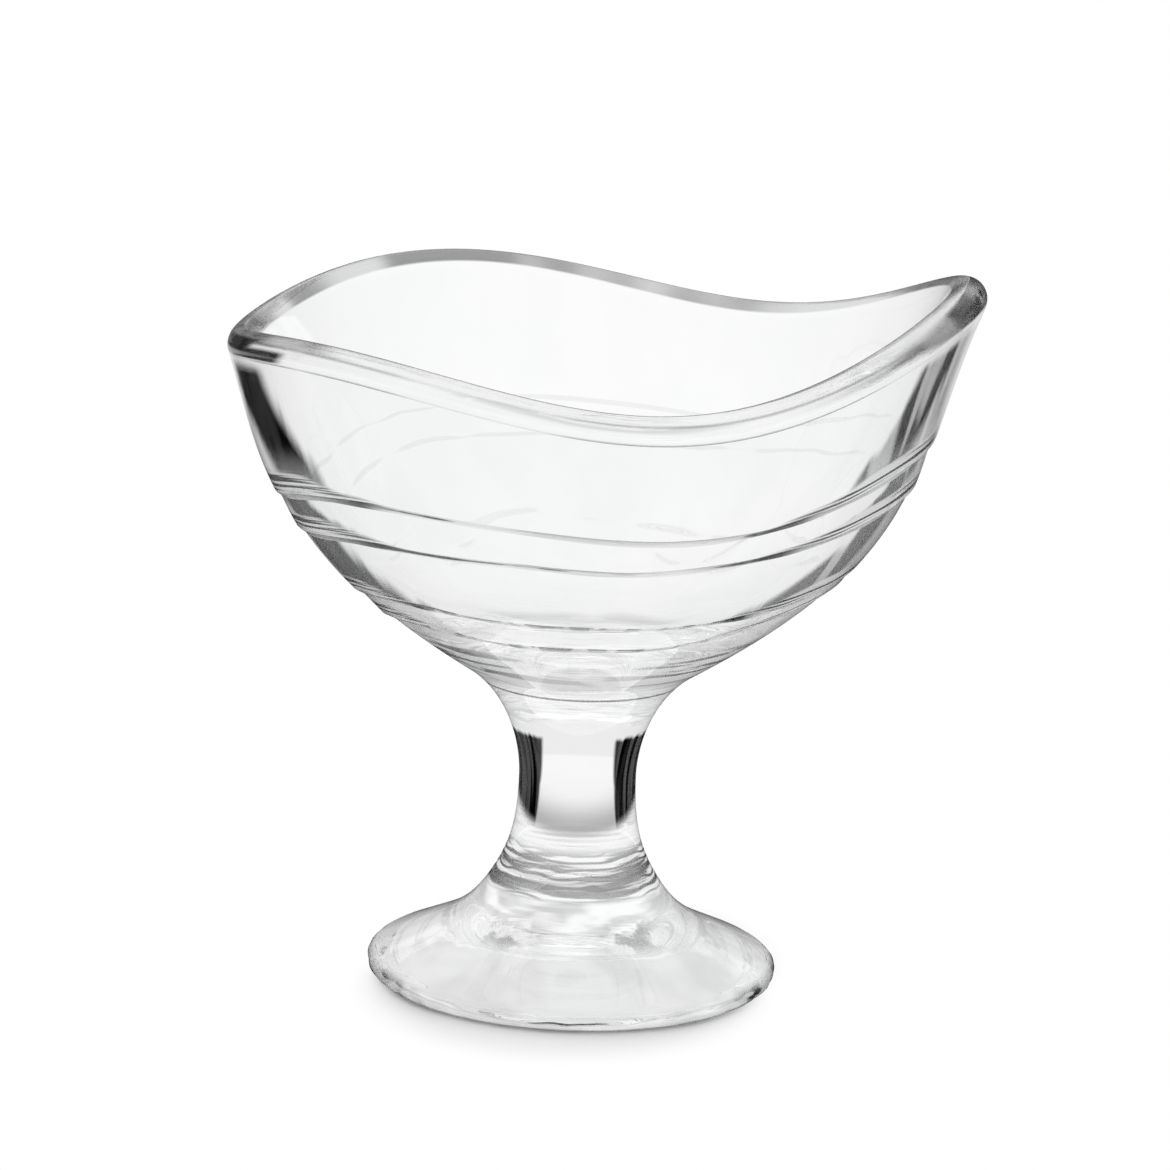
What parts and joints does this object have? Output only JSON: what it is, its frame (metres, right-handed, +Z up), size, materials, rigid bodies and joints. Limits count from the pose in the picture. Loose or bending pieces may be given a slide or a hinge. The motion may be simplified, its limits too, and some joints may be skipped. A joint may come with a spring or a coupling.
{
  "type": "ice cream glass",
  "caption": "Footed clear glass dish for ice cream, with a wavy rounded rim and wavy terraces on a thick-walled bowl, a waisted stem and a low conical foot.",
  "frame": {"origin": "on the axis of stem and foot, in the plane that the foot's ring stands on", "axes": "+Z up along the stem, +X towards the high crest of the rim, so XZ is the plane of symmetry"},
  "size_m": [0.1193, 0.1152, 0.1173],
  "materials": {
    "bowl_glass": "clear fire-polished glass",
    "stem_glass": "clear fire-polished glass",
    "foot_glass": "clear fire-polished glass"
  },
  "bodies": {
    "root": {"bowl": "bowl_glass", "stem": "stem_glass", "foot": "foot_glass"}
  },
  "joints": []
}
